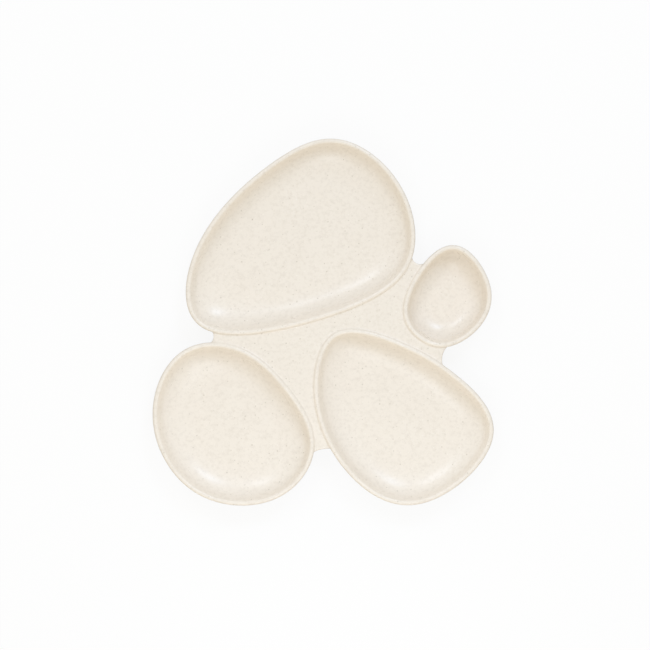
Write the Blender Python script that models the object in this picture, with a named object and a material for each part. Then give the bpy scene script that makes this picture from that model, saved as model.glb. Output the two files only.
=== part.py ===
"""Divided appetizer dish: four pebble-shaped wells of unlike size, each with a round bead for a
rim, held side by side by a flat deck that lies a little below the rims.

Metres, +Z up. The dish stands on the table at z = 0 with the middle of its outline at x = y = 0.
The real dish is one moulding. It is modelled as five solids that meet at the foot of each bead,
where the deck runs into the wells, with a fine seam between them.
"""
import math

import bmesh
import bpy
import numpy as np

# Sections shared by all four wells
DISH_HEIGHT = 0.0250            # table to the top of the rims; what a well's depth and its floor
                                # leave of it is the height of its foot ring
RIM_WIDTH = 0.0042              # the round bead along every rim
WALL = 0.0036                   # walls and floors of the wells
FOOT_WIDTH = 0.0028             # foot ring, at its root
FOOT_CHAMFER = 0.0004           # on both edges of the foot ring's flat

# The deck between the wells
DECK_DROP = 0.0022              # rim top down to the deck's face
DECK_THICKNESS = 0.0032
DECK_EDGE_ROUND = 0.0011        # rounding along the deck's open edges
DECK_TUCK = 0.0006              # how far the deck's notches start behind the rims' outer line
DECK_TIP_FLAT = 0.0010          # radius that the rounding leaves at its tips beside a notch
SEAM = 0.0003                   # deck to well, all along the bead's foot
CUT_OVERRUN = 0.0025            # how far the deck's openings are cut beyond its two faces

# Large well, upper left
LARGE_LENGTH = 0.2053
LARGE_WIDTH = 0.1415
LARGE_DEPTH = 0.0175            # rim to floor, inside
LARGE_CURVE_SPAN = 0.030        # the inner curve from wall to floor is a quarter of an ellipse,
LARGE_CURVE_RISE = 0.015        # this far across and this far up, cut off where the wall starts
LARGE_OUTLINE_SHARES = (
    (-0.66, 0.86), (-1.29, -0.23), (0.02, -0.99), (0.77, -1.08),
    (1.09, -0.09), (0.87, 0.91), (0.31, 1.06),
)

# Round well, lower left
ROUND_LENGTH = 0.1467
ROUND_WIDTH = 0.1190
ROUND_DEPTH = 0.0175
ROUND_CURVE_SPAN = 0.030
ROUND_CURVE_RISE = 0.015
ROUND_OUTLINE_SHARES = (
    (-0.73, -0.87), (0.35, -1.17), (1.12, -0.21), (0.91, 0.87),
    (0.12, 1.03), (-0.60, 0.99), (-1.16, 0.26),
)

# Oval well, lower right
OVAL_LENGTH = 0.1642
OVAL_WIDTH = 0.1221
OVAL_DEPTH = 0.0175
OVAL_CURVE_SPAN = 0.030
OVAL_CURVE_RISE = 0.015
OVAL_OUTLINE_SHARES = (
    (-0.77, -0.60), (-0.01, -1.08), (0.94, -0.94), (1.12, 0.98),
    (0.14, 1.03), (-0.39, 0.88), (-1.19, 0.44),
)

# Dip well, right: deeper and steeper than the others
DIP_LENGTH = 0.0864
DIP_WIDTH = 0.0709
DIP_DEPTH = 0.0200
DIP_CURVE_SPAN = 0.018
DIP_CURVE_RISE = 0.014
DIP_OUTLINE_SHARES = (
    (-0.50, 1.17), (-0.99, 0.50), (-1.05, -0.27), (-0.43, -0.99),
    (0.39, -1.09), (1.20, 0.01), (0.74, 0.76),
)

# Narrowest gaps between neighbouring rims
GAP_LARGE_ROUND = 0.0072
GAP_LARGE_OVAL = 0.0134
GAP_ROUND_OVAL = 0.0069
GAP_LARGE_DIP = 0.0082
GAP_OVAL_DIP = 0.0074

# Notches where the deck's edge shows between two rims. The touch radius is that of a circle laid
# against both rims, and sets how deep the notch runs; the edge has its own flatter radius, and
# each end of it turns into the rim with the corner radius.
LEFT_NOTCH_TOUCH_RADIUS = 0.0056
LEFT_NOTCH_EDGE_RADIUS = 0.0070
LEFT_NOTCH_CORNER_RADIUS = 0.0046
BOTTOM_NOTCH_TOUCH_RADIUS = 0.0108
BOTTOM_NOTCH_EDGE_RADIUS = 0.0260
BOTTOM_NOTCH_CORNER_RADIUS = 0.0032
RIGHT_NOTCH_TOUCH_RADIUS = 0.0115
RIGHT_NOTCH_EDGE_RADIUS = 0.0160
RIGHT_NOTCH_CORNER_RADIUS = 0.0050
TOP_NOTCH_TOUCH_RADIUS = 0.0066
TOP_NOTCH_EDGE_RADIUS = 0.0086
TOP_NOTCH_CORNER_RADIUS = 0.0056

# Directions, in degrees counter-clockwise from +X
LARGE_HEADING = 34.0
ROUND_HEADING = -48.0
OVAL_HEADING = -41.0
DIP_HEADING = 76.0
LARGE_TO_ROUND = -110.6         # line from the large well's middle on which the round one lies
LARGE_TO_OVAL = -60.0           # only where the search for the place starts, as is the next one
LARGE_TO_DIP = -10.0
WALL_DRAFT = 63.0               # slope of the wells' walls, up from the horizontal
DIP_WALL_DRAFT = 75.0           # the same for the dip well
FOOT_TURN = 24.0                # where the foot ring stands on the curve into the floor, as a
                                # turn along it from the flat

# Facets
LARGE_SIDES = 64
ROUND_SIDES = 58
OVAL_SIDES = 58
DIP_SIDES = 44
BEAD_INNER_STEPS = 2            # inner wall to the top of the rim
BEAD_OUTER_STEPS = 3            # top of the rim to its outer line
BEAD_UNDER_STEPS = 2            # outer line to the neck under the bead
INNER_CURVE_STEPS = 6
OUTER_CURVE_STEPS = 4           # wall to the foot ring
UNDER_CURVE_STEPS = 2           # foot ring to the flat underside
NOTCH_STEPS = 6
DECK_ROUND_STEPS = 1
SHARP_ANGLE = 40.0              # edges that turn more than this are shaded sharp
MERGE_DISTANCE = 0.00001        # points of the deck's blank closer than this become one

# Finding outlines and places
SPAN_POINTS = 100               # points per span of an outline, or along a curve, while measured
TURN_SHARE = 0.5                # how much an outline's facets follow its turning, not its length
SLIDE_STEPS = 80                # steps of the search that lays one outline against others,
SLIDE_SHARE = 0.5               # and how much of the error each step takes away
START_SHARE = 4.0               # touch radii from the neck between two rims to where the search
                                # for the notch's circle starts

# Finish: moulded bamboo fibre in resin, warm off-white
FIBRE_COLOUR = (0.855, 0.807, 0.715, 1.0)
FIBRE_ROUGHNESS = 0.32
FIBRE_METALLIC = 0.0

WELLS = {
    "large_well": {
        "length": LARGE_LENGTH, "width": LARGE_WIDTH, "depth": LARGE_DEPTH,
        "curve": (LARGE_CURVE_SPAN, LARGE_CURVE_RISE), "draft": WALL_DRAFT,
        "heading": LARGE_HEADING, "shares": LARGE_OUTLINE_SHARES, "sides": LARGE_SIDES,
    },
    "round_well": {
        "length": ROUND_LENGTH, "width": ROUND_WIDTH, "depth": ROUND_DEPTH,
        "curve": (ROUND_CURVE_SPAN, ROUND_CURVE_RISE), "draft": WALL_DRAFT,
        "heading": ROUND_HEADING, "shares": ROUND_OUTLINE_SHARES, "sides": ROUND_SIDES,
    },
    "oval_well": {
        "length": OVAL_LENGTH, "width": OVAL_WIDTH, "depth": OVAL_DEPTH,
        "curve": (OVAL_CURVE_SPAN, OVAL_CURVE_RISE), "draft": WALL_DRAFT,
        "heading": OVAL_HEADING, "shares": OVAL_OUTLINE_SHARES, "sides": OVAL_SIDES,
    },
    "dip_well": {
        "length": DIP_LENGTH, "width": DIP_WIDTH, "depth": DIP_DEPTH,
        "curve": (DIP_CURVE_SPAN, DIP_CURVE_RISE), "draft": DIP_WALL_DRAFT,
        "heading": DIP_HEADING, "shares": DIP_OUTLINE_SHARES, "sides": DIP_SIDES,
    },
}

# Going counter-clockwise round the deck: the wells on each side of a notch, and its three radii
NOTCHES = (
    ("large_well", "round_well", LEFT_NOTCH_TOUCH_RADIUS, LEFT_NOTCH_EDGE_RADIUS,
     LEFT_NOTCH_CORNER_RADIUS),
    ("round_well", "oval_well", BOTTOM_NOTCH_TOUCH_RADIUS, BOTTOM_NOTCH_EDGE_RADIUS,
     BOTTOM_NOTCH_CORNER_RADIUS),
    ("oval_well", "dip_well", RIGHT_NOTCH_TOUCH_RADIUS, RIGHT_NOTCH_EDGE_RADIUS,
     RIGHT_NOTCH_CORNER_RADIUS),
    ("dip_well", "large_well", TOP_NOTCH_TOUCH_RADIUS, TOP_NOTCH_EDGE_RADIUS,
     TOP_NOTCH_CORNER_RADIUS),
)


# Plan outlines

def heading_vector(degrees):
    """Unit vector in the plane of the table."""
    return np.array((math.cos(math.radians(degrees)), math.sin(math.radians(degrees))))


def closed_spline(controls):
    """Points of a closed cubic B-spline, from its control points."""
    controls = np.asarray(controls, float)
    count = len(controls)
    t = np.linspace(0, 1, SPAN_POINTS, endpoint=False)
    basis = np.stack([(1 - t)**3, 3*t**3 - 6*t**2 + 4, -3*t**3 + 3*t**2 + 3*t + 1, t**3], 1) / 6
    spans = [basis @ controls[[i - 1, i, (i + 1) % count, (i + 2) % count]] for i in range(count)]
    return np.concatenate(spans)


def well_outline(well):
    """Outer line of a rim, to its length and width, turned to its heading about the origin."""
    unit = closed_spline(well["shares"])
    low, high = unit.min(0), unit.max(0)
    local = (unit - (low + high)/2) / (high - low) * (well["length"], well["width"])
    along = heading_vector(well["heading"])
    across = np.array((-along[1], along[0]))
    return local[:, :1]*along + local[:, 1:]*across


def nearest(points, others):
    """Least distance between two point sets, with the point of each where it is found."""
    spans = np.linalg.norm(points[:, None] - others[None], axis=2)
    i, j = np.unravel_index(spans.argmin(), spans.shape)
    return spans[i, j], points[i], others[j]


def slide_until(points, start, gaps, line=None):
    """Where the points have to be moved to, without turning, so that each (others, distance) of
    gaps holds, staying on the line (a point and a direction) if there is one."""
    place = np.array(start, float)
    for _ in range(SLIDE_STEPS):
        ways, errors = [], []
        for others, distance in gaps:
            now, mine, theirs = nearest(points + place, others)
            ways.append((mine - theirs) / now)
            errors.append(distance - now)
        if line is not None:
            off_line = np.array((-line[1][1], line[1][0]))
            ways.append(off_line)
            errors.append(-off_line @ (place - line[0]))
        step = np.linalg.lstsq(np.array(ways), np.array(errors), rcond=None)[0]
        place = place + SLIDE_SHARE*step
    return place


def lay_out():
    """Outer line of every rim in its place, packed by the gaps between neighbours."""
    shapes = {name: well_outline(well) for name, well in WELLS.items()}
    large = shapes["large_well"]
    far = {name: LARGE_LENGTH + WELLS[name]["length"] for name in WELLS}
    placed = {"large_well": large}
    beam = heading_vector(LARGE_TO_ROUND)
    place = slide_until(
        shapes["round_well"], beam*far["round_well"], [(large, GAP_LARGE_ROUND)],
        line=(np.zeros(2), beam),
    )
    placed["round_well"] = shapes["round_well"] + place
    place = slide_until(
        shapes["oval_well"], heading_vector(LARGE_TO_OVAL)*far["oval_well"],
        [(large, GAP_LARGE_OVAL), (placed["round_well"], GAP_ROUND_OVAL)],
    )
    placed["oval_well"] = shapes["oval_well"] + place
    place = slide_until(
        shapes["dip_well"], heading_vector(LARGE_TO_DIP)*far["dip_well"],
        [(large, GAP_LARGE_DIP), (placed["oval_well"], GAP_OVAL_DIP)],
    )
    placed["dip_well"] = shapes["dip_well"] + place
    everything = np.concatenate(list(placed.values()))
    middle = (everything.min(0) + everything.max(0)) / 2
    return {name: points - middle for name, points in placed.items()}


def even_points(outline, count):
    """Points along an outline, closer where it turns, with the inward normal at each."""
    ahead = np.roll(outline, -1, 0)
    tangent = ahead - np.roll(outline, 1, 0)
    tangent /= np.linalg.norm(tangent, axis=1)[:, None]
    lengths = np.linalg.norm(ahead - outline, axis=1)
    turned = np.roll(tangent, -1, 0)
    turning = np.abs(tangent[:, 0]*turned[:, 1] - tangent[:, 1]*turned[:, 0])
    weight = (1 - TURN_SHARE)*lengths/lengths.sum() + TURN_SHARE*turning/turning.sum()
    travel = np.concatenate([[0], np.cumsum(weight)])
    inward = np.stack([-tangent[:, 1], tangent[:, 0]], 1)
    stops = np.linspace(0, 1, count, endpoint=False)
    rounds = np.concatenate([outline, outline[:1]])
    normals = np.concatenate([inward, inward[:1]])
    points = np.stack([np.interp(stops, travel, rounds[:, k]) for k in (0, 1)], 1)
    normals = np.stack([np.interp(stops, travel, normals[:, k]) for k in (0, 1)], 1)
    return points, normals / np.linalg.norm(normals, axis=1)[:, None]


# Cross-section of a well: distance in from the rim's outer line, and height

def arc(centre, radius, start, end, steps):
    """Points of an arc in the section plane, angles in degrees, both ends included."""
    angles = np.radians(np.linspace(start, end, steps + 1))
    return [(centre[0] + radius*math.cos(a), centre[1] + radius*math.sin(a)) for a in angles]


def floor_curve(well, flat_start, start, end, steps, skin=0):
    """Points of the curve between floor and wall, turns in degrees up from the flat: on the
    inner surface, or on one that lies a skin below it."""
    span, rise = well["curve"]
    points = []
    for turn in np.radians(np.linspace(start, end, steps + 1)):
        slope = math.atan2(rise*math.sin(turn), span*math.cos(turn))
        inset = flat_start - span*math.sin(turn) - skin*math.sin(slope)
        height = DISH_HEIGHT - well["depth"] + rise*(1 - math.cos(turn)) - skin*math.cos(slope)
        points.append((inset, height))
    return points


def well_section(well):
    """The whole section of a well, from the middle of its floor over the rim to the middle of
    its underside, with the distance in at which the inner wall ends and the curve into the
    floor starts."""
    draft = math.radians(well["draft"])
    span, rise = well["curve"]
    bead = RIM_WIDTH / 2
    bead_middle = (bead, DISH_HEIGHT - bead)
    over = arc(bead_middle, bead, 90 - well["draft"], 90, BEAD_INNER_STEPS)
    over += arc(bead_middle, bead, 90, 180, BEAD_OUTER_STEPS)[1:]
    under = bead_underside(well["draft"], 0)[1:]
    wall_turn = math.degrees(math.atan(math.tan(draft)*span/rise))
    fall = over[0][1] - floor_curve(well, 0, wall_turn, wall_turn, 0)[0][1]
    wall_end = over[0][0] + fall/math.tan(draft)
    flat_start = wall_end + span*math.sin(math.radians(wall_turn))
    inner_curve = floor_curve(well, flat_start, 0, wall_turn, INNER_CURVE_STEPS)
    outer_curve = floor_curve(well, flat_start, wall_turn, FOOT_TURN, OUTER_CURVE_STEPS, WALL)
    foot_start = outer_curve[-1][0]
    underside = floor_curve(well, flat_start, FOOT_TURN, 0, SPAN_POINTS, WALL)
    turns = np.linspace(FOOT_TURN, 0, SPAN_POINTS + 1)
    foot_end_turn = np.interp(foot_start + FOOT_WIDTH, [inset for inset, _ in underside], turns)
    foot = [
        (foot_start + FOOT_CHAMFER/2, FOOT_CHAMFER),
        (foot_start + FOOT_CHAMFER, 0),
        (foot_start + FOOT_WIDTH - FOOT_CHAMFER, 0),
        (foot_start + FOOT_WIDTH - FOOT_CHAMFER/2, FOOT_CHAMFER),
    ]
    under_curve = floor_curve(well, flat_start, foot_end_turn, 0, UNDER_CURVE_STEPS, WALL)
    return inner_curve + over + under + outer_curve + foot + under_curve, wall_end


def bead_underside(draft, growth):
    """The bead in section from its outermost point to the neck under it, where the outer wall
    starts. The growth widens bead and wall alike."""
    bead = RIM_WIDTH / 2
    middle = (bead, DISH_HEIGHT - bead)
    neck = math.degrees(math.acos((WALL - bead + growth) / (bead + growth)))
    return arc(middle, bead + growth, 180, 270 - draft + neck, BEAD_UNDER_STEPS)


def seat_section(draft):
    """What the deck's opening has to clear: the bead's outer side and the wall under it, grown
    by the seam, from above the rim to below the deck."""
    top = DISH_HEIGHT + CUT_OVERRUN
    bottom = DISH_HEIGHT - DECK_DROP - DECK_THICKNESS - CUT_OVERRUN
    underside = bead_underside(draft, SEAM)
    neck = underside[-1]
    run = (neck[1] - bottom) / math.tan(math.radians(draft))
    return [(underside[0][0], top)] + underside + [(neck[0] + run, bottom)]


# Building

def rings_of(outline, sides, section, wall_end):
    """One ring of points for each point of the section. Down to the wall's end a ring is a true
    inset of the outline; further in it is the wall's last ring drawn in towards its middle."""
    points, inward = even_points(outline, sides)
    last = points + inward*wall_end
    middle = last.mean(0)
    reach = np.linalg.norm(last - middle, axis=1).mean()
    rings = []
    for inset, height in section:
        if inset <= wall_end:
            ring = points + inward*inset
        else:
            ring = middle + (last - middle)*(1 - (inset - wall_end)/reach)
        rings.append([(x, y, height) for x, y in ring])
    return rings


def loft(name, rings):
    """A closed body through rings of the same number of points, with a flat end at each end."""
    bm = bmesh.new()
    loops = [[bm.verts.new(point) for point in ring] for ring in rings]
    for first, second in zip(loops, loops[1:]):
        for i, corner in enumerate(first):
            bm.faces.new((first[i - 1], corner, second[i], second[i - 1]))
    bm.faces.new(loops[0])
    bm.faces.new(loops[-1])
    bmesh.ops.recalc_face_normals(bm, faces=bm.faces)
    mesh = bpy.data.meshes.new(name)
    bm.to_mesh(mesh)
    bm.free()
    return bpy.data.objects.new(name, mesh)


def smooth(obj):
    """Smooth shading, with edges kept where the surface really turns."""
    obj.data.shade_smooth()
    obj.data.set_sharp_from_angle(angle=math.radians(SHARP_ANGLE))


def fibre_material(name):
    """Bamboo fibre moulding, one material for each sub-part."""
    material = bpy.data.materials.new(name + "_fibre")
    material.use_nodes = True
    shader = material.node_tree.nodes["Principled BSDF"]
    shader.inputs["Base Color"].default_value = FIBRE_COLOUR
    shader.inputs["Roughness"].default_value = FIBRE_ROUGHNESS
    shader.inputs["Metallic"].default_value = FIBRE_METALLIC
    return material


def finish(obj, collection, dish):
    """Put a sub-part in the dish's collection, under the dish's empty, with its material."""
    obj.data.materials.clear()
    obj.data.materials.append(fibre_material(obj.name))
    collection.objects.link(obj)
    obj.parent = dish


def make_well(name, outline, collection, dish):
    """One well: floor, wall, bead, outer wall and foot ring, as one lofted shell."""
    well = WELLS[name]
    section, wall_end = well_section(well)
    obj = loft(name, rings_of(outline, well["sides"], section, wall_end))
    smooth(obj)
    finish(obj, collection, dish)


def make_cutter(name, outline, collection):
    """The shape of a well's outside, grown by the seam, that opens the deck for it."""
    well = WELLS[name]
    section = seat_section(well["draft"])
    wall_end = max(inset for inset, _ in section)
    obj = loft(name + "_seat", rings_of(outline, well["sides"], section, wall_end))
    obj.hide_render = True
    obj.display_type = "WIRE"
    collection.objects.link(obj)
    return obj


def turn_points(centre, radius, start, end):
    """Points of an arc in plan, from one direction to another by the shorter way."""
    first = math.atan2(start[1], start[0])
    sweep = (math.atan2(end[1], end[0]) - first + math.pi) % (2*math.pi) - math.pi
    angles = first + sweep*np.linspace(0, 1, NOTCH_STEPS + 1)
    return [centre + radius*np.array((math.cos(a), math.sin(a))) for a in angles]


def notch_points(first, second, touch_radius, edge_radius, corner_radius):
    """Edge of the deck between two rims, from inside the first outline to inside the second: a
    rounded tip, a corner, the edge, a corner and a tip."""
    dot = np.zeros((1, 2))
    _, here, there = nearest(first, second)
    neck = (here + there) / 2
    across = (there - here) / np.linalg.norm(there - here)
    outward = np.array((across[1], -across[0]))
    reach = touch_radius - DECK_TUCK
    start = neck + outward*START_SHARE*touch_radius
    touching = slide_until(dot, start, [(first, reach), (second, reach)])
    inward = (neck - touching) / np.linalg.norm(neck - touching)
    edge_middle = touching + inward*(touch_radius - edge_radius)
    edge = [edge_middle[None], edge_radius - corner_radius]
    points = []
    for outline, side in ((first, -1), (second, 1)):
        start = touching + inward*(touch_radius - corner_radius) + side*across*corner_radius/2
        gaps = [(outline, corner_radius - DECK_TUCK), tuple(edge)]
        corner = slide_until(dot, start, gaps)
        _, _, rim_point = nearest(corner[None], outline)
        to_edge = corner - edge_middle
        to_rim = (rim_point - corner) / np.linalg.norm(rim_point - corner)
        along_rim = to_rim*(to_rim @ to_edge) - to_edge
        tip_radius = DECK_EDGE_ROUND + DECK_TIP_FLAT
        tip = corner + to_rim*(corner_radius + tip_radius)
        points.append(
            turn_points(tip, tip_radius, along_rim, -to_rim)[:-1]
            + turn_points(corner, corner_radius, to_rim, to_edge)
        )
    first_corner, second_corner = points[0], points[1][::-1]
    edge_arc = turn_points(
        edge_middle, edge_radius, first_corner[-1] - edge_middle, second_corner[0] - edge_middle
    )
    return first_corner[:-1] + edge_arc + second_corner[1:]


def deck_blank(outlines):
    """The deck before its openings are cut: a flat outline curve, thick and round-edged, that
    runs along the notches and through the middle of each well."""
    corners = []
    for first, second, *radii in NOTCHES:
        corners.append(outlines[first].mean(0))
        corners.extend(notch_points(outlines[first], outlines[second], *radii))
    curve = bpy.data.curves.new("deck_outline", "CURVE")
    curve.dimensions = "2D"
    curve.fill_mode = "BOTH"
    spline = curve.splines.new("POLY")
    spline.points.add(len(corners) - 1)
    for point, (x, y) in zip(spline.points, corners):
        point.co = (x, y, 0, 1)
    spline.use_cyclic_u = True
    curve.extrude = DECK_THICKNESS/2 - DECK_EDGE_ROUND
    curve.bevel_depth = DECK_EDGE_ROUND
    curve.bevel_resolution = DECK_ROUND_STEPS
    curve.offset = -DECK_EDGE_ROUND
    return bpy.data.objects.new("deck_outline", curve)


def mesh_from_curve(source, name, collection):
    """A closed mesh with the curve's shape, which can be cut; the curve is removed."""
    collection.objects.link(source)
    depsgraph = bpy.context.evaluated_depsgraph_get()
    mesh = bpy.data.meshes.new_from_object(source.evaluated_get(depsgraph))
    bm = bmesh.new()
    bm.from_mesh(mesh)
    bmesh.ops.remove_doubles(bm, verts=bm.verts, dist=MERGE_DISTANCE)
    bmesh.ops.recalc_face_normals(bm, faces=bm.faces)
    bm.to_mesh(mesh)
    bm.free()
    obj = bpy.data.objects.new(name, mesh)
    obj.matrix_world = source.matrix_world
    bpy.data.objects.remove(source)
    return obj


def make_deck(outlines, collection, cutters, dish):
    """The flat deck, opened for each well."""
    obj = mesh_from_curve(deck_blank(outlines), "deck", collection)
    obj.location.z = DISH_HEIGHT - DECK_DROP - DECK_THICKNESS/2
    for name, outline in outlines.items():
        cut = obj.modifiers.new(name + "_opening", "BOOLEAN")
        cut.operation = "DIFFERENCE"
        cut.solver = "EXACT"
        cut.object = make_cutter(name, outline, cutters)
    smooth(obj)
    finish(obj, collection, dish)


def main():
    for obj in list(bpy.data.objects):
        bpy.data.objects.remove(obj, do_unlink=True)
    scene = bpy.context.scene
    collection = bpy.data.collections.new("divided_appetizer_dish")
    cutters = bpy.data.collections.new("dish_cutters")
    scene.collection.children.link(collection)
    scene.collection.children.link(cutters)
    dish = bpy.data.objects.new("dish", None)
    collection.objects.link(dish)
    outlines = lay_out()
    for name, outline in outlines.items():
        make_well(name, outline, collection, dish)
    make_deck(outlines, collection, cutters, dish)


main()
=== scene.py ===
import math

import bmesh
import bpy
import numpy as np
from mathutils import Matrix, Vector
from mathutils.geometry import delaunay_2d_cdt
from mathutils.kdtree import KDTree


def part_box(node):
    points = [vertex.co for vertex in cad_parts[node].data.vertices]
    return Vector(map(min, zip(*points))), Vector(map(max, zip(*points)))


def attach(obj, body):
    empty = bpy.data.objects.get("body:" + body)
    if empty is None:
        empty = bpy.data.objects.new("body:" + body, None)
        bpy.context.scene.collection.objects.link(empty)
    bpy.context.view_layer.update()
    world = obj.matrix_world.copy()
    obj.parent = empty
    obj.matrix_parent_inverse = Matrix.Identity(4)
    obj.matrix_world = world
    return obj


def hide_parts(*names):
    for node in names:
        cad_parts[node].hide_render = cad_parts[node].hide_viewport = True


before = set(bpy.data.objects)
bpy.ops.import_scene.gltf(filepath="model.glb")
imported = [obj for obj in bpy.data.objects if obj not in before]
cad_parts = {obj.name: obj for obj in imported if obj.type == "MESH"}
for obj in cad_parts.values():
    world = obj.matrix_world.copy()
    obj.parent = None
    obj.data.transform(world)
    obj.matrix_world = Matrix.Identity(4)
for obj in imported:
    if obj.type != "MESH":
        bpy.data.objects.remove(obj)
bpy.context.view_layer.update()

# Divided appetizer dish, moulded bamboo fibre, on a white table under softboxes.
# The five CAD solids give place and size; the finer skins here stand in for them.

mm = 0.001
sharpAngle = 45.0             # an edge that turns by more is drawn sharp

# what is the same in all four wells
section = {
    "height": 25.0*mm,        # table to rim
    "rimWidth": 4.2*mm,       # round bead
    "wall": 3.6*mm,
    "footWidth": 2.8*mm,
    "footTurn": 24.0,         # where the foot ring stands on the curve into the floor
    "footRound": 0.5*mm,      # worn-in edges of the foot's flat
    "floorRings": (4*mm, 1*mm),     # lines of points on the flat floor, in from its curve
    "sides": 240,
    "spanPoints": 160,        # points per span of an outline
    "searchPoints": 200,      # and along the curve where the foot ring's inner end is looked for
    "steps": {
        "beadIn": 6, "beadOut": 8, "beadUnder": 6, "wall": 5, "inner": 20, "outer": 14,
        "foot": 4, "under": 7,
    },
}
bead = section["rimWidth"] / 2

# depth: rim to floor; draft: slope of the walls; curve: across and up, the quarter ellipse that
# takes the wall into the floor; shares: control points of the outline, in halves of the length
# and the width, along the heading
wells = {
    "largeWell": {
        "node": "large_well", "length": 205.3*mm, "width": 141.5*mm, "heading": 34.0,
        "depth": 17.5*mm, "draft": 63.0, "curve": (30*mm, 15*mm),
        "shares": ((-0.66, 0.86), (-1.29, -0.23), (0.02, -0.99), (0.77, -1.08),
                   (1.09, -0.09), (0.87, 0.91), (0.31, 1.06)),
    },
    "roundWell": {
        "node": "round_well", "length": 146.7*mm, "width": 119.0*mm, "heading": -48.0,
        "depth": 17.5*mm, "draft": 63.0, "curve": (30*mm, 15*mm),
        "shares": ((-0.73, -0.87), (0.35, -1.17), (1.12, -0.21), (0.91, 0.87),
                   (0.12, 1.03), (-0.60, 0.99), (-1.16, 0.26)),
    },
    "ovalWell": {
        "node": "oval_well", "length": 164.2*mm, "width": 122.1*mm, "heading": -41.0,
        "depth": 17.5*mm, "draft": 63.0, "curve": (30*mm, 15*mm),
        "shares": ((-0.77, -0.60), (-0.01, -1.08), (0.94, -0.94), (1.12, 0.98),
                   (0.14, 1.03), (-0.39, 0.88), (-1.19, 0.44)),
    },
    "dipWell": {
        "node": "dip_well", "length": 86.4*mm, "width": 70.9*mm, "heading": 76.0,
        "depth": 20.0*mm, "draft": 75.0, "curve": (18*mm, 14*mm),
        "shares": ((-0.50, 1.17), (-0.99, 0.50), (-1.05, -0.27), (-0.43, -0.99),
                   (0.39, -1.09), (1.20, 0.01), (0.74, 0.76)),
    },
}


def headingVector(degrees):
    return np.array((math.cos(math.radians(degrees)), math.sin(math.radians(degrees))))


def closedSpline(controls):
    # uniform cubic B-spline
    controls = np.asarray(controls, float)
    count = len(controls)
    t = np.linspace(0, 1, section["spanPoints"], endpoint=False)
    basis = np.stack([(1 - t)**3, 3*t**3 - 6*t**2 + 4, -3*t**3 + 3*t**2 + 3*t + 1, t**3], 1) / 6
    spans = [basis @ controls[[i - 1, i, (i + 1) % count, (i + 2) % count]] for i in range(count)]
    return np.concatenate(spans)


def wellOutline(well):
    # outer line of the rim, fitted to the box of its CAD solid
    unit = closedSpline(well["shares"])
    low, high = unit.min(0), unit.max(0)
    local = (unit - (low + high)/2) / (high - low) * (well["length"], well["width"])
    along = headingVector(well["heading"])
    across = np.array((-along[1], along[0]))
    turned = local[:, :1]*along + local[:, 1:]*across
    boxLow, boxHigh = (np.array(corner)[:2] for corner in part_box(well["node"]))
    low, high = turned.min(0), turned.max(0)
    return boxLow + (turned - low)/(high - low)*(boxHigh - boxLow)


def evenPoints(outline, count):
    # points by equal travel, half by length and half by turning, and the inward normals
    ahead = np.roll(outline, -1, 0)
    tangent = ahead - np.roll(outline, 1, 0)
    tangent /= np.linalg.norm(tangent, axis=1)[:, None]
    lengths = np.linalg.norm(ahead - outline, axis=1)
    turned = np.roll(tangent, -1, 0)
    turning = np.abs(tangent[:, 0]*turned[:, 1] - tangent[:, 1]*turned[:, 0])
    weight = (lengths/lengths.sum() + turning/turning.sum()) / 2
    travel = np.concatenate([[0], np.cumsum(weight)])
    inward = np.stack([-tangent[:, 1], tangent[:, 0]], 1)
    stops = np.linspace(0, 1, count, endpoint=False)
    around = np.concatenate([outline, outline[:1]])
    normals = np.concatenate([inward, inward[:1]])
    points = np.stack([np.interp(stops, travel, around[:, k]) for k in (0, 1)], 1)
    normals = np.stack([np.interp(stops, travel, normals[:, k]) for k in (0, 1)], 1)
    return points, normals / np.linalg.norm(normals, axis=1)[:, None]


def arc(centre, radius, start, end, steps):
    angles = np.radians(np.linspace(start, end, steps + 1))
    return [(centre[0] + radius*math.cos(a), centre[1] + radius*math.sin(a)) for a in angles]


def straight(a, b, steps):
    return [(a[0] + (b[0] - a[0])*k/steps, a[1] + (b[1] - a[1])*k/steps) for k in range(1, steps)]


def floorCurve(well, floorStart, turns, depth=0):
    # the curve from floor to wall at turns up from the flat; depth: of a surface below it
    across, up = well["curve"]
    floorHeight = section["height"] - well["depth"]
    points = []
    for turn in np.radians(turns):
        slope = math.atan2(up*math.sin(turn), across*math.cos(turn))
        inset = floorStart - across*math.sin(turn) - depth*math.sin(slope)
        points.append((inset, floorHeight + up*(1 - math.cos(turn)) - depth*math.cos(slope)))
    return points


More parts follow.
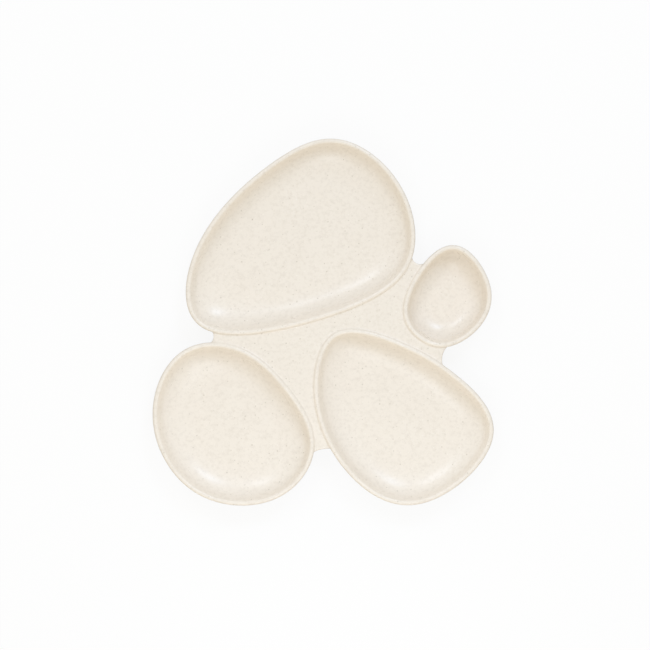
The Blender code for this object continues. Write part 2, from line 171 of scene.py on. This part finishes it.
def wellSection(well):
    # (inset, height) from the middle of the floor over the rim to the middle of the underside
    s, steps = section, section["steps"]
    slope = math.radians(well["draft"])
    across, up = well["curve"]
    beadMiddle = (bead, s["height"] - bead)
    over = arc(beadMiddle, bead, 90 - well["draft"], 90, steps["beadIn"])
    over += arc(beadMiddle, bead, 90, 180, steps["beadOut"])[1:]
    neck = math.degrees(math.acos((s["wall"] - bead) / bead))
    under = arc(beadMiddle, bead, 180, 270 - well["draft"] + neck, steps["beadUnder"])[1:]
    wallTurn = math.degrees(math.atan(math.tan(slope)*across/up))
    fall = over[0][1] - floorCurve(well, 0, [wallTurn])[0][1]
    wallEnd = over[0][0] + fall/math.tan(slope)
    floorStart = wallEnd + across*math.sin(math.radians(wallTurn))
    inner = floorCurve(well, floorStart, np.linspace(0, wallTurn, steps["inner"] + 1))
    turns = np.linspace(wallTurn, s["footTurn"], steps["outer"] + 1)
    outer = floorCurve(well, floorStart, turns, s["wall"])

    # foot ring: both edges of its flat rounded
    edge = s["footRound"]
    footStart, footEnd = outer[-1][0], outer[-1][0] + s["footWidth"]
    foot = arc((footStart + 2*edge, edge), edge, 180, 270, steps["foot"])
    foot += arc((footEnd - 2*edge, edge), edge, 270, 360, steps["foot"])
    turns = np.linspace(s["footTurn"], 0, s["searchPoints"])
    insets = [inset for inset, _ in floorCurve(well, floorStart, turns, s["wall"])]
    turns = np.linspace(np.interp(footEnd, insets, turns), 0, steps["under"] + 1)
    underside = floorCurve(well, floorStart, turns, s["wall"])

    flat = [(floorStart + inward, inner[0][1]) for inward in s["floorRings"]]
    points = flat + inner + straight(inner[-1], over[0], steps["wall"]) + over + under
    points += straight(under[-1], outer[0], steps["wall"]) + outer + foot + underside
    return points, wallEnd


def ringsOf(outline, sides, points, wallEnd):
    # true insets down to the wall's end; further in, the last of them drawn to its middle
    rim, inward = evenPoints(outline, sides)
    last = rim + inward*wallEnd
    middle = last.mean(0)
    reach = np.linalg.norm(last - middle, axis=1).mean()
    rings = []
    for inset, height in points:
        if inset <= wallEnd:
            ring = rim + inward*inset
        else:
            ring = middle + (last - middle)*(1 - (inset - wallEnd)/reach)
        rings.append([(x, y, height) for x, y in ring])
    return rings


def bridge(bm, loops):
    # faces from each loop of corners to the next
    for first, second in zip(loops, loops[1:]):
        for i, corner in enumerate(first):
            bm.faces.new((first[i - 1], corner, second[i], second[i - 1]))


def meshObject(name, bm):
    bmesh.ops.recalc_face_normals(bm, faces=bm.faces)
    mesh = bpy.data.meshes.new(name)
    bm.to_mesh(mesh)
    bm.free()
    mesh.shade_smooth()
    mesh.set_sharp_from_angle(angle=math.radians(sharpAngle))
    obj = bpy.data.objects.new(name, mesh)
    bpy.context.scene.collection.objects.link(obj)
    return obj


def buildWell(name, outline):
    points, wallEnd = wellSection(wells[name])
    rings = ringsOf(outline, section["sides"], points, wallEnd)
    bm = bmesh.new()
    loops = [[bm.verts.new(point) for point in ring] for ring in rings]
    bridge(bm, loops)
    bm.faces.new(loops[0])
    bm.faces.new(loops[-1])
    return meshObject(name, bm)


outlines = {name: wellOutline(well) for name, well in wells.items()}
skins = {name: buildWell(name, outline) for name, outline in outlines.items()}
print("wells lofted")

# the deck: a flat slab between the wells, open edges rounded, sides sunk into the wells' walls
deck = {
    "drop": 2.2*mm,           # from the rims down to its top
    "thickness": 3.2*mm,
    "edgeRound": 1.1*mm,
    "tuck": 0.6*mm,           # how far a notch's ends reach in under the rims
    "sink": 4.0*mm,           # how far its hidden sides stand inside the rims' outer line
    "fillet": 1.6*mm,         # where it turns up into the beads
    "filletSink": 0.04*mm,    # and ends just under their skin
    "underFillet": 2.0*mm,    # where it turns down into the walls
    "hiddenRise": 0.5,        # slope at which it ends, back up inside the walls
    # wells on each side of a notch, with its touch, edge and corner radii
    "notches": (
        ("largeWell", "roundWell", 5.6*mm, 7.0*mm, 4.6*mm),
        ("roundWell", "ovalWell", 10.8*mm, 26.0*mm, 3.2*mm),
        ("ovalWell", "dipWell", 11.5*mm, 16.0*mm, 5.0*mm),
        ("dipWell", "largeWell", 6.6*mm, 8.6*mm, 5.6*mm),
    ),
    "steps": {"corner": 12, "edge": 28, "tongue": 6, "fillet": 7, "underFillet": 5, "round": 6},
    "pitch": 4,               # every so many points of an outline, where it is followed,
    "hiddenPitch": 3,         # and where the slab's side is hidden
    "guard": 0.4*mm,          # from a round or fillet to the next line of points
    "farGuard": 1.6*mm,
    "weld": 1e-7,             # metres; points closer than this are one
    "searchStart": 4,         # how many touch radii out from between the rims a search starts,
    "searchSteps": 80,
    "searchShare": 0.5,       # and how much of the error each of its steps takes away
}


def nearest(points, others):
    spans = np.linalg.norm(points[:, None] - others[None], axis=2)
    i, j = np.unravel_index(spans.argmin(), spans.shape)
    return spans[i, j], points[i], others[j]


def slideUntil(start, gaps):
    # a point moved until it stands each distance away from each of the point sets
    place = np.array(start, float)
    for _ in range(deck["searchSteps"]):
        ways, errors = [], []
        for others, distance in gaps:
            now, mine, theirs = nearest(place[None], others)
            ways.append((mine - theirs) / now)
            errors.append(distance - now)
        step = np.linalg.lstsq(np.array(ways), np.array(errors), rcond=None)[0]
        place = place + deck["searchShare"]*step
    return place


def turnPoints(centre, radius, start, end, steps):
    first = math.atan2(start[1], start[0])
    sweep = (math.atan2(end[1], end[0]) - first + math.pi) % (2*math.pi) - math.pi
    angles = first + sweep*np.linspace(0, 1, steps + 1)
    return [centre + radius*np.array((math.cos(a), math.sin(a))) for a in angles]


def notchArcs(first, second, touch, edge, corner):
    # three arcs that make the deck's edge between two rims: centre, radius, start, end, steps
    _, here, there = nearest(first[::deck["pitch"]], second[::deck["pitch"]])
    neck = (here + there) / 2
    across = (there - here) / np.linalg.norm(there - here)
    outward = np.array((across[1], -across[0]))
    reach = touch - deck["tuck"]
    start = neck + outward*deck["searchStart"]*touch
    touching = slideUntil(start, [(first, reach), (second, reach)])
    inward = (neck - touching) / np.linalg.norm(neck - touching)
    edgeMiddle = touching + inward*(touch - edge)
    ends = []
    for outline, side in ((first, -1), (second, 1)):
        start = touching + inward*(touch - corner) + side*across*corner/2
        gaps = [(outline, corner - deck["tuck"]), (edgeMiddle[None], edge - corner)]
        middle = slideUntil(start, gaps)
        _, _, rimPoint = nearest(middle[None], outline)
        ends.append((middle, rimPoint - middle, middle - edgeMiddle))
    (firstMiddle, firstRim, firstEdge), (secondMiddle, secondRim, secondEdge) = ends
    steps = deck["steps"]
    return (
        (firstMiddle, corner, firstRim, firstEdge, steps["corner"]),
        (edgeMiddle, edge, firstEdge, secondEdge, steps["edge"]),
        (secondMiddle, corner, secondEdge, secondRim, steps["corner"]),
    )


def notchLine(arcs, grow):
    # grow moves the line off the edge and into the deck
    points = []
    for centre, radius, *turn in arcs:
        points = points[:-1] + turnPoints(centre, radius + grow, *turn)
    return points


def outwardOf(outline):
    tangent = np.roll(outline, -1, 0) - np.roll(outline, 1, 0)
    outward = np.stack([tangent[:, 1], -tangent[:, 0]], 1)
    return outward / np.linalg.norm(outward, axis=1)[:, None]


def tongueEnd(line, outline, width):
    # half a turn from the end of a notch line to the slab's hidden side, inside the bead
    ahead = (line[-1] - line[-2]) / np.linalg.norm(line[-1] - line[-2])
    inward = -outwardOf(outline)[np.linalg.norm(outline - line[-1], axis=1).argmin()]
    turns = np.linspace(0, math.pi, deck["steps"]["tongue"] + 1)[1:]
    return [line[-1] + width/2*((1 - math.cos(a))*inward + math.sin(a)*ahead) for a in turns]


def hiddenLine(outline, start, end):
    # the stretch of a line inside a well's wall, clockwise from near start to near end
    i = np.linalg.norm(outline - start, axis=1).argmin()
    j = np.linalg.norm(outline - end, axis=1).argmin()
    count, pitch = len(outline), deck["hiddenPitch"]
    return [outline[(i - k) % count] for k in range(pitch + 1, (i - j) % count - pitch, pitch)]


def deckLoop(notches):
    # plan of the slab's flat top, counterclockwise: each notch, then the next well's hidden side
    grow = deck["edgeRound"]
    width = deck["sink"] - deck["tuck"] - 2*grow
    pieces = []
    for (before, after, *_), arcs in zip(deck["notches"], notches):
        line = notchLine(arcs, grow)
        lead = tongueEnd(line[::-1], outlines[before], width)[::-1]
        pieces.append(lead + line + tongueEnd(line, outlines[after], width))
    loop = []
    for k, (_, after, *_) in enumerate(deck["notches"]):
        side = outlines[after] - outwardOf(outlines[after])*(deck["sink"] - grow)
        loop += pieces[k] + hiddenLine(side, pieces[k][-1], pieces[(k + 1) % len(pieces)][0])
    return loop


# top fillet, seen across a bead: starts on the deck and ends on the bead
deckTop = section["height"] - deck["drop"]
deckUnder = deckTop - deck["thickness"]
filletRise = deck["fillet"] - (section["height"] - bead - deckTop)
filletSpan = math.sqrt((bead - deck["filletSink"] + deck["fillet"])**2 - filletRise**2)
filletStart = filletSpan - bead
filletSweep = math.pi/2 - math.atan2(filletRise, filletSpan)
filletTurns = np.linspace(0, filletSweep, deck["steps"]["fillet"] + 1)
topLines = filletStart - deck["fillet"]*np.sin(filletTurns)
filletTop = deck["fillet"]*(1 - math.cos(filletSweep))


def underFillet(well):
    # fillet below, from the slab's underside to the slope of the wall, as distances outside
    # the rim
    slope = math.radians(well["draft"])
    inside = bead - section["wall"]
    wallTop = section["height"] - bead + inside*math.cos(slope)
    wallMeets = bead + inside*math.sin(slope) + (wallTop - deckUnder)/math.tan(slope)
    start = deck["underFillet"]*math.tan(slope/2) - wallMeets
    turns = np.linspace(0, slope, deck["steps"]["underFillet"] + 1)
    return start - deck["underFillet"]*np.sin(turns)


def arcRise(radius, reach):
    return radius - math.sqrt(radius**2 - reach**2)


def topLift(distance):
    if distance >= filletStart:
        return 0.0
    if distance > topLines[-1]:
        return arcRise(deck["fillet"], filletStart - distance)
    return max(0.0, filletTop - (topLines[-1] - distance))


def underDrop(distance, lines):
    if distance >= lines[0]:
        return 0.0
    reach = min(lines[0] - distance, lines[0] - lines[-1])
    lift = deck["hiddenRise"]*max(0.0, lines[-1] - distance)
    return arcRise(deck["underFillet"], reach) - lift


def offsets(points, outline):
    # how far plan points lie outside an outline
    tree = KDTree(len(outline))
    for k, (x, y) in enumerate(outline):
        tree.insert((x, y, 0), k)
    tree.balance()
    outward = outwardOf(outline)
    found = []
    for point in points:
        _, index, _ = tree.find((point[0], point[1], 0))
        found.append(float((np.array(point) - outline[index]) @ outward[index]))
    return found


def deckPlan(notches, underLines):
    # the slab's plan in triangles, with lines of points wherever its faces bend
    loop = deckLoop(notches)
    points = [tuple(p) for p in loop]
    edges = []

    def addLine(line, links):
        first, count = len(points), len(line)
        edges.extend((first + k, first + (k + 1) % count) for k in range(links))
        points.extend(tuple(p) for p in line)

    for arcs in notches:
        line = notchLine(arcs, deck["edgeRound"] + deck["guard"])
        addLine(line, len(line) - 1)
    guards = (filletStart + deck["farGuard"], filletStart + deck["guard"])
    for outline, lines in zip(outlines.values(), underLines):
        outward = outwardOf(outline)
        for distance in (*guards, *topLines, *lines):
            line = (outline + outward*distance)[::deck["pitch"]]
            addLine(line, len(line))
    whole = [list(range(len(loop)))]
    places, _, faces, _, _, sources = delaunay_2d_cdt(
        [Vector(p) for p in points], edges, whole, 0, deck["weld"]
    )
    triangles = [face for face, source in zip(faces, sources) if source]
    used = sorted({index for face in triangles for index in face})
    numbers = {index: k for k, index in enumerate(used)}
    flat = [places[index] for index in used]
    return flat, [[numbers[index] for index in face] for face in triangles]


def borderOf(triangles):
    # the corners around the slab: along each edge that only one triangle has
    edges = {(a, b) for face in triangles for a, b in zip(face, face[1:] + face[:1])}
    following = {a: b for a, b in edges if (b, a) not in edges}
    border = [min(following)]
    while following[border[-1]] != border[0]:
        border.append(following[border[-1]])
    return border


def roundBorder(bm, flat, border, top, under):
    # two quarter rounds from the top face over the slab's edge to its underside
    outline = np.array([flat[k] for k in border])
    outward = outwardOf(outline)
    radius, steps = deck["edgeRound"], deck["steps"]["round"]
    turns = [math.pi/2*k/steps for k in range(1, steps + 1)]
    rings = [[top[k] for k in border]]
    for corners, side, angles in ((top, -1, turns), (under, 1, turns[::-1])):
        for a in angles:
            rise, reach = side*radius*(1 - math.cos(a)), radius*math.sin(a)
            rings.append([
                bm.verts.new((x + nx*reach, y + ny*reach, corners[k].co.z + rise))
                for k, (x, y), (nx, ny) in zip(border, outline, outward)
            ])
    bridge(bm, rings + [[under[k] for k in border]])


def buildDeck():
    notches = [notchArcs(outlines[a], outlines[b], *radii) for a, b, *radii in deck["notches"]]
    underLines = [underFillet(well) for well in wells.values()]
    flat, triangles = deckPlan(notches, underLines)
    distances = list(zip(*(offsets(flat, outline) for outline in outlines.values())))
    lifts = [topLift(min(away)) for away in distances]
    drops = [sum(underDrop(d, lines) for d, lines in zip(away, underLines)) for away in distances]

    bm = bmesh.new()
    top = [bm.verts.new((*p, deckTop + lift)) for p, lift in zip(flat, lifts)]
    under = [bm.verts.new((*p, deckUnder - drop)) for p, drop in zip(flat, drops)]
    for corners in triangles:
        bm.faces.new([top[k] for k in corners])
        bm.faces.new([under[k] for k in reversed(corners)])
    roundBorder(bm, flat, borderOf(triangles), top, under)
    return meshObject("deckWeb", bm)


skins["deckWeb"] = buildDeck()
print("deck laid between the rims,", len(skins["deckWeb"].data.polygons), "faces")


def linear(hexColour):
    # sRGB hex to linear light, opaque
    channels = [int(hexColour[k:k + 2], 16)/255 for k in (1, 3, 5)]
    return [c/12.92 if c <= 0.04045 else ((c + 0.055)/1.055)**2.4 for c in channels] + [1.0]


def addNode(tree, kind, settings, links=()):
    # settings: a node's own properties or its sockets' values; links: (socket, source) pairs
    node = tree.nodes.new(kind)
    for name, value in settings.items():
        if isinstance(name, str) and hasattr(node, name):
            setattr(node, name, value)
        else:
            node.inputs[name].default_value = value
    for socket, source in links:
        tree.links.new(source, node.inputs[socket])
    return node


# Bamboo fibre in melamine, compression moulded: a warm off-white body, cloudy at the scale of
# a coin and dusted with ground fibre, with soft-edged bits just under its skin, pale ones, tan
# flecks and a few darker husks; satin, a little uneven, so that its highlights are broad.
fibre = {
    "body": "#F5ECE0",
    "cloud": "#F1E7DA",
    "dust": "#E8DED1",
    "dustMost": 0.9,
    "dustOver": (0.46, 0.78),       # the dust noise, from none to the most
    # the lowest first: colour, spacing, largest radius, share of the lattice's cells that hold
    # one, and how far the lattice is moved, so that the three kinds don't fall together
    "bits": {
        "pale": ("#FCF4EA", 2.3*mm, 0.65*mm, 0.40, 7.0),
        "fleck": ("#D2C8B9", 2.9*mm, 0.85*mm, 0.45, 3.0),
        "husk": ("#B8AC9B", 7.0*mm, 0.75*mm, 0.35, 11.0),
    },
    "smallest": 0.25,         # of the largest radius
    "fade": 0.8,              # soft edge, in radii: a bit lies under a skin of clear resin
    "bend": 0.7*mm,           # ragged shape of the bits
    # size, detail and roughness of each noise; the pressed surface's grain is coarser than the
    # real 0.1 mm so that it shows
    "noises": {
        "cloud": (22*mm, 3.0, 0.55),
        "dust": (2.9*mm, 2.0, 0.6),
        "ripple": (0.9*mm, 2.0, 0.5),
        "grain": (0.35*mm, 1.0, 0.5),
    },
    "grainDepth": 0.006*mm,
    "ior": 1.46,              # melamine resin
    "roughness": (0.26, 0.33),
    "roughnessOver": (0.3, 0.7),    # the cloud noise, from the one to the other
}

# sockets of a colour mix, by number because those of its other kinds have the same names
mixShare, mixFirst, mixSecond, mixResult = 0, 6, 7, 2


def scattered(tree, place, spacing, radius, share, shift):
    # bits of uneven size, one in each of a share of the cells of a random lattice
    moved = addNode(
        tree, "ShaderNodeVectorMath", {"operation": "ADD", 1: (shift, shift, shift)}, [(0, place)],
    )
    cells = addNode(
        tree, "ShaderNodeTexVoronoi", {"feature": "F1", "Scale": 1/spacing, "Randomness": 1.0},
        [("Vector", moved.outputs[0])],
    )
    split = addNode(tree, "ShaderNodeSeparateColor", {}, [("Color", cells.outputs["Color"])])
    largest = radius/spacing
    size = addNode(
        tree, "ShaderNodeMapRange",
        {"From Min": 1 - share, "From Max": 1.0, "To Min": fibre["smallest"]*largest,
         "To Max": largest},
        [("Value", split.outputs[0])],
    )
    depth = addNode(
        tree, "ShaderNodeMath", {"operation": "SUBTRACT"},
        [(0, size.outputs[0]), (1, cells.outputs["Distance"])],
    )
    edge = addNode(
        tree, "ShaderNodeMapRange", {"From Min": 0.0, "From Max": fibre["fade"]*largest},
        [("Value", depth.outputs[0])],
    )
    chosen = addNode(
        tree, "ShaderNodeMath", {"operation": "GREATER_THAN", 1: 1 - share},
        [(0, split.outputs[0])],
    )
    return addNode(
        tree, "ShaderNodeMath", {"operation": "MULTIPLY"},
        [(0, edge.outputs[0]), (1, chosen.outputs[0])],
    ).outputs[0]


def blended(tree, share, first, second):
    # second over first by share; each a colour or a socket
    settings, links = {"data_type": "RGBA"}, [(mixShare, share)]
    for socket, colour in ((mixFirst, first), (mixSecond, second)):
        if isinstance(colour, str):
            settings[socket] = linear(colour)
        else:
            links.append((socket, colour))
    return addNode(tree, "ShaderNodeMix", settings, links).outputs[mixResult]


def startMaterial(name):
    material = bpy.data.materials.new(name)
    material.use_nodes = True
    return material, material.node_tree, material.node_tree.nodes["Principled BSDF"]


def fibreMaterial():
    s = fibre
    material, tree, shader = startMaterial("bambooFibreMoulded")
    place = addNode(tree, "ShaderNodeTexCoord", {}).outputs["Object"]
    noise = {}
    for name, (size, detail, roughness) in s["noises"].items():
        noise[name] = addNode(
            tree, "ShaderNodeTexNoise",
            {"Scale": 1/size, "Detail": detail, "Roughness": roughness}, [("Vector", place)],
        ).outputs
    bent = addNode(
        tree, "ShaderNodeVectorMath", {"operation": "MULTIPLY_ADD", 1: (s["bend"],)*3},
        [(0, noise["ripple"]["Color"]), (2, place)],
    ).outputs[0]
    low, high = s["dustOver"]
    dusty = addNode(
        tree, "ShaderNodeMapRange",
        {"From Min": low, "From Max": high, "To Min": 0.0, "To Max": s["dustMost"]},
        [("Value", noise["dust"][0])],
    ).outputs[0]

    colour = blended(tree, noise["cloud"][0], s["body"], s["cloud"])
    colour = blended(tree, dusty, colour, s["dust"])
    for shade, *lattice in s["bits"].values():
        colour = blended(tree, scattered(tree, bent, *lattice), colour, shade)
    tree.links.new(colour, shader.inputs["Base Color"])

    (low, high), (glossy, matt) = s["roughnessOver"], s["roughness"]
    sheen = addNode(
        tree, "ShaderNodeMapRange",
        {"From Min": low, "From Max": high, "To Min": glossy, "To Max": matt},
        [("Value", noise["cloud"][0])],
    )
    tree.links.new(sheen.outputs[0], shader.inputs["Roughness"])
    shader.inputs["IOR"].default_value = s["ior"]
    bump = addNode(
        tree, "ShaderNodeBump", {"Strength": 1.0, "Distance": s["grainDepth"]},
        [("Height", noise["grain"][0])],
    )
    tree.links.new(bump.outputs[0], shader.inputs["Normal"])
    return material


# pale laminate table, matt; seen nearly white, but it throws back only a grey light and keeps
# the dish's soft shadow
table = {
    "size": 4.0,
    "drop": 0.02*mm,          # under the feet, so that no face lies in the same plane as theirs
    "colour": "#8C8B89",
    "seenColour": "#F2F1EF",
    "seenWhite": 0.90,
    "roughness": 0.6,
}


def seenDirectly(tree):
    # 1 for what the eye, a mirror or a glass looks at, 0 for what only lights other things
    rays = addNode(tree, "ShaderNodeLightPath", {}).outputs
    seen = rays["Is Camera Ray"]
    for kind in ("Is Glossy Ray", "Is Transmission Ray"):
        seen = addNode(
            tree, "ShaderNodeMath", {"operation": "MAXIMUM"}, [(0, seen), (1, rays[kind])],
        ).outputs[0]
    return seen


def buildTable():
    bm = bmesh.new()
    half = table["size"] / 2
    corners = ((-half, -half), (half, -half), (half, half), (-half, half))
    bm.faces.new([bm.verts.new((x, y, -table["drop"])) for x, y in corners])
    floor = meshObject("tableTop", bm)
    material, tree, lighting = startMaterial("laminateMattWhite")
    shown = addNode(tree, "ShaderNodeBsdfPrincipled", {})
    for shader, colour in ((lighting, table["colour"]), (shown, table["seenColour"])):
        shader.inputs["Base Color"].default_value = linear(colour)
        shader.inputs["Roughness"].default_value = table["roughness"]
    glow = addNode(tree, "ShaderNodeEmission", {"Strength": 1.0})
    white = addNode(
        tree, "ShaderNodeMixShader", {0: table["seenWhite"]},
        [(1, shown.outputs[0]), (2, glow.outputs[0])],
    )
    mixed = addNode(
        tree, "ShaderNodeMixShader", {},
        [(0, seenDirectly(tree)), (1, lighting.outputs[0]), (2, white.outputs[0])],
    )
    tree.links.new(mixed.outputs[0], tree.nodes["Material Output"].inputs["Surface"])
    floor.data.materials.append(material)


buildTable()
bamboo = fibreMaterial()
for name, piece in skins.items():
    piece.data.materials.append(bamboo)
    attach(piece, "root")
    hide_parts(wells[name]["node"] if name in wells else "deck")
print("fibre pressed into", len(skins), "pieces")

# camera straight above, as the photo is
camera = {
    "lens": 100.0,
    "sensor": 36.0,
    "clip": (0.05, 20.0),
    "height": 1524*mm,
    "aim": (1.53*mm, -2.39*mm),
}
lens = bpy.data.cameras.new("overheadLens")
lens.lens = camera["lens"]
lens.sensor_width = camera["sensor"]
lens.clip_start, lens.clip_end = camera["clip"]
overhead = bpy.data.objects.new("overheadCamera", lens)
overhead.location = (*camera["aim"], camera["height"])
bpy.context.scene.collection.objects.link(overhead)
bpy.context.scene.camera = overhead

# two cool softboxes well beyond the top of the picture, and two near ones at its foot: a small
# high one that makes the nearer wells a little brighter, and a long low one for the free edges
lamps = {
    # azimuth from +X, angle off straight up, distance, width, height, light on the dish
    "rightBox": (63.0, 40.0, 2.4, 0.60, 0.60, (0.43, 0.58, 0.82)),
    "leftBox": (117.0, 40.0, 2.4, 0.60, 0.60, (0.38, 0.43, 0.52)),
    "fillBox": (270.0, 36.0, 0.6, 0.30, 0.30, (0.49, 0.545, 0.62)),
    "lowBox": (270.0, 84.0, 0.8, 0.90, 0.12, (0.32, 0.29, 0.27)),
}


def buildSoftbox(name, azimuth, tilt, distance, width, height, light):
    softbox = bpy.data.lights.new(name, "AREA")
    softbox.shape = "RECTANGLE"
    softbox.size, softbox.size_y = width, height
    softbox.energy = max(light)*math.pi*distance**2
    softbox.color = [share/max(light) for share in light]
    lamp = bpy.data.objects.new(name, softbox)
    turn, off = math.radians(azimuth), math.radians(tilt)
    place = Vector((math.sin(off)*math.cos(turn), math.sin(off)*math.sin(turn), math.cos(off)))
    lamp.location = place*distance
    lamp.rotation_euler = place.to_track_quat("Z", "Y").to_euler()
    lamp.visible_camera = False
    bpy.context.scene.collection.objects.link(lamp)


for name, settings in lamps.items():
    buildSoftbox(name, *settings)

# the warm white room around them
room = {
    "light": (0.667, 0.630, 0.540),
    "seen": "#FFFFFF",
}


def buildRoom():
    # lights with the room's own tint, and is seen as plain white
    world = bpy.data.worlds.new("whiteRoom")
    world.use_nodes = True
    bpy.context.scene.world = world
    tree = world.node_tree
    backdrop = tree.nodes["Background"]
    backdrop.inputs["Color"].default_value = (*room["light"], 1)
    white = addNode(
        tree, "ShaderNodeBackground", {"Color": linear(room["seen"]), "Strength": 1.0},
    )
    mixed = addNode(
        tree, "ShaderNodeMixShader", {},
        [(0, seenDirectly(tree)), (1, backdrop.outputs[0]), (2, white.outputs[0])],
    )
    tree.links.new(mixed.outputs[0], tree.nodes["World Output"].inputs["Surface"])


buildRoom()
bpy.context.scene.view_settings.view_transform = "Standard"
print("camera and softboxes set")
